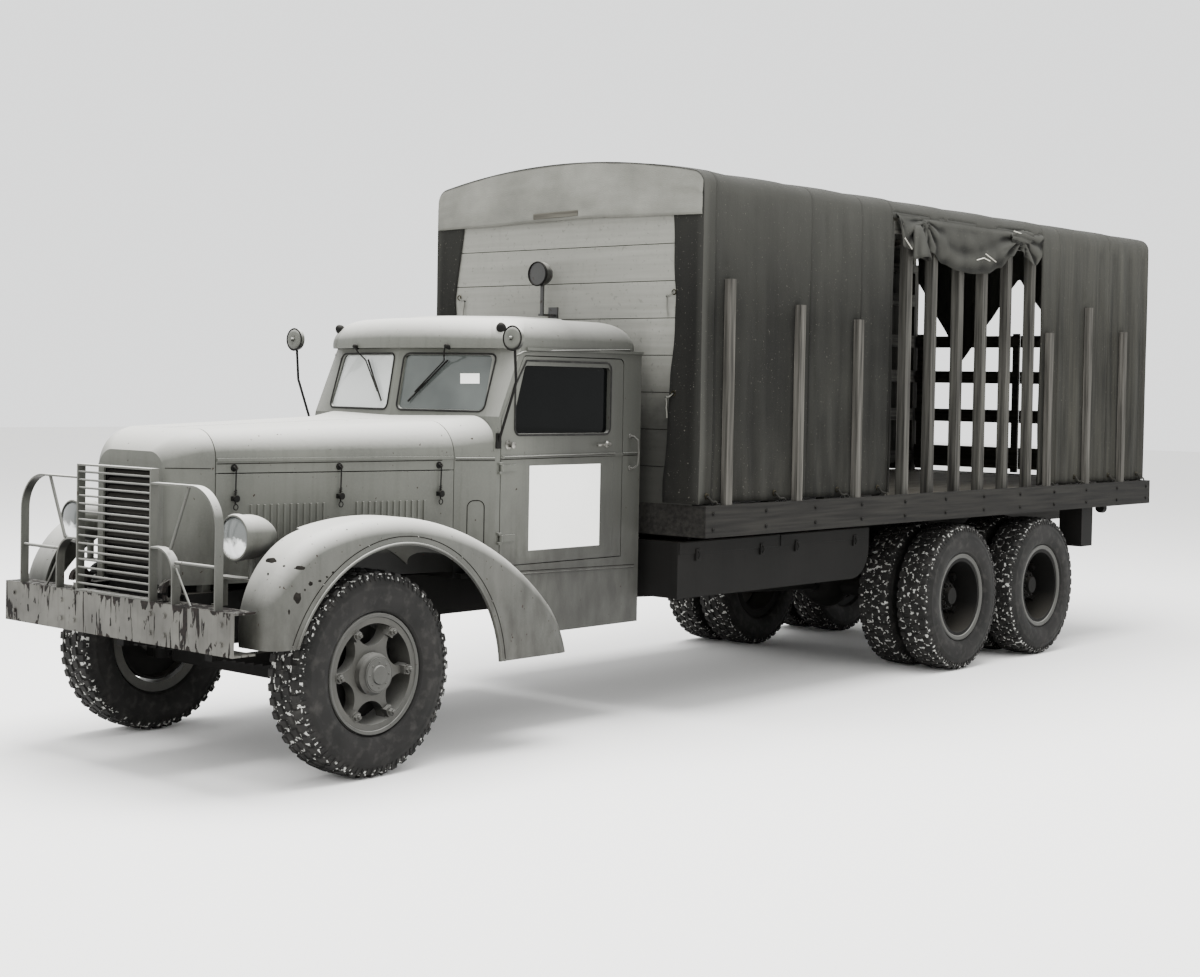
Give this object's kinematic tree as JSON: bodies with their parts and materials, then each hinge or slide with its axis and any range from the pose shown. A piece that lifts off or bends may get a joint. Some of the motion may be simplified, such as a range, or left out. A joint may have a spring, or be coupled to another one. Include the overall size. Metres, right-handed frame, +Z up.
{
  "type": "military cargo truck",
  "caption": "Conventional-cab military cargo truck with stake body, canvas cover, brush guard, dual rear wheels and opening doors, hood and gates.",
  "frame": {"origin": "ground level at the middle of the overall box", "axes": "front faces -Y, the driver's side is +X, +Z is up"},
  "size_m": [2.44, 10.06, 3.5718],
  "materials": {
    "cab_paint": "faded olive grey paint",
    "fender_paint": "faded olive grey paint",
    "bumper_paint": "chipped and rusty paint",
    "dark_metal": "dark chassis paint",
    "wheel_paint": "dull paint",
    "tyre": "worn",
    "glass": "clear",
    "seat_cloth": "worn leathercloth",
    "bed_wood": "dark weathered",
    "rack_wood": "bare sawn",
    "bulkhead_wood": "painted planks",
    "canvas": "weathered cotton duck",
    "mirror_metal": "dull paint"
  },
  "bodies": {
    "chassis": {"frame": "dark_metal", "crossmembers": "dark_metal", "front_bumper": "bumper_paint", "brush_guard": "cab_paint", "nose_shell": "cab_paint", "radiator_grille": "dark_metal", "hood_sides": "cab_paint", "cab_shell": "cab_paint", "cab_glass": "glass", "cowl": "cab_paint", "seat": "seat_cloth", "steering_wheel": "dark_metal", "front_fenders": "fender_paint", "headlights": "cab_paint", "headlight_lenses": "glass", "front_axle": "dark_metal", "engine": "dark_metal", "drive_shafts": "dark_metal", "rear_axles": "dark_metal", "bed_frame": "bed_wood", "bed_floor": "bed_wood", "front_bulkhead": "bulkhead_wood", "side_racks": "rack_wood", "outer_stakes": "rack_wood", "roof_bows": "rack_wood", "canvas_cover": "canvas", "bulkhead_lamp": "cab_paint", "stowage_boxes": "dark_metal", "mirrors": "mirror_metal"},
    "door_left_body": {"door_left": "cab_paint", "door_glass_left": "glass"},
    "hood_left_body": {"hood_left": "cab_paint"},
    "knuckle_left_body": {"knuckle_left": "dark_metal"},
    "front_wheel_left_body": {"front_wheel_left": "wheel_paint", "front_tyre_left": "tyre"},
    "rear_wheel_1_left_body": {"rear_wheel_1_left": "wheel_paint", "rear_tyres_1_left": "tyre"},
    "rear_wheel_2_left_body": {"rear_wheel_2_left": "wheel_paint", "rear_tyres_2_left": "tyre"},
    "rear_gate_left_body": {"rear_gate_left": "rack_wood"},
    "door_right_body": {"door_right": "cab_paint", "door_glass_right": "glass"},
    "hood_right_body": {"hood_right": "cab_paint"},
    "knuckle_right_body": {"knuckle_right": "dark_metal"},
    "front_wheel_right_body": {"front_wheel_right": "wheel_paint", "front_tyre_right": "tyre"},
    "rear_wheel_1_right_body": {"rear_wheel_1_right": "wheel_paint", "rear_tyres_1_right": "tyre"},
    "rear_wheel_2_right_body": {"rear_wheel_2_right": "wheel_paint", "rear_tyres_2_right": "tyre"},
    "rear_gate_right_body": {"rear_gate_right": "rack_wood"},
    "tie_rod_body": {"tie_rod": "dark_metal"}
  },
  "joints": [
    {"name": "door_left_hinge", "type": "hinge", "parent": "chassis", "child": "door_left_body", "pos_m": [0.812, -2.893, 1.4], "axis": [0, 0, -1], "range_deg": [0, 70]},
    {"name": "hood_left_hinge", "type": "hinge", "parent": "chassis", "child": "hood_left_body", "pos_m": [0.0143, -3.94, 1.849], "axis": [0, -0.9995, -0.0307], "range_deg": [0, 60]},
    {"name": "steer_left", "type": "hinge", "parent": "chassis", "child": "knuckle_left_body", "pos_m": [0.8, -4.1, 0.55], "axis": [0, 0, 1], "range_deg": [-32, 32]},
    {"name": "front_wheel_left_spin", "type": "hinge", "parent": "knuckle_left_body", "child": "front_wheel_left_body", "pos_m": [0.934, -4.1, 0.55], "axis": [1, 0, 0], "continuous": true},
    {"name": "rear_wheel_1_left_spin", "type": "hinge", "parent": "chassis", "child": "rear_wheel_1_left_body", "pos_m": [0.915, 1.8, 0.55], "axis": [1, 0, 0], "continuous": true},
    {"name": "rear_wheel_2_left_spin", "type": "hinge", "parent": "chassis", "child": "rear_wheel_2_left_body", "pos_m": [0.915, 3.08, 0.55], "axis": [1, 0, 0], "continuous": true},
    {"name": "rear_gate_left_hinge", "type": "hinge", "parent": "chassis", "child": "rear_gate_left_body", "pos_m": [1.08, 4.993, 2], "axis": [0, 0, -1], "range_deg": [0, 105]},
    {"name": "door_right_hinge", "type": "hinge", "parent": "chassis", "child": "door_right_body", "pos_m": [-0.812, -2.893, 1.4], "axis": [0, 0, 1], "range_deg": [0, 70]},
    {"name": "hood_right_hinge", "type": "hinge", "parent": "chassis", "child": "hood_right_body", "pos_m": [-0.0143, -3.94, 1.849], "axis": [0, 0.9995, 0.0307], "range_deg": [0, 60]},
    {"name": "steer_right", "type": "hinge", "parent": "chassis", "child": "knuckle_right_body", "pos_m": [-0.8, -4.1, 0.55], "axis": [0, 0, 1], "range_deg": [-32, 32]},
    {"name": "front_wheel_right_spin", "type": "hinge", "parent": "knuckle_right_body", "child": "front_wheel_right_body", "pos_m": [-0.934, -4.1, 0.55], "axis": [1, 0, 0], "continuous": true},
    {"name": "rear_wheel_1_right_spin", "type": "hinge", "parent": "chassis", "child": "rear_wheel_1_right_body", "pos_m": [-0.915, 1.8, 0.55], "axis": [1, 0, 0], "continuous": true},
    {"name": "rear_wheel_2_right_spin", "type": "hinge", "parent": "chassis", "child": "rear_wheel_2_right_body", "pos_m": [-0.915, 3.08, 0.55], "axis": [1, 0, 0], "continuous": true},
    {"name": "rear_gate_right_hinge", "type": "hinge", "parent": "chassis", "child": "rear_gate_right_body", "pos_m": [-1.08, 4.993, 2], "axis": [0, 0, 1], "range_deg": [0, 105]},
    {"name": "tie_rod_slide", "type": "slide", "parent": "chassis", "child": "tie_rod_body", "axis": [1, 0, 0], "range_m": [-0.1137, 0.1137]}
  ],
  "couplings": [
    {"joint": "steer_right", "follows": "steer_left", "ratio": 1},
    {"joint": "tie_rod_slide", "follows": "steer_left", "m_per_rad": -0.2}
  ]
}
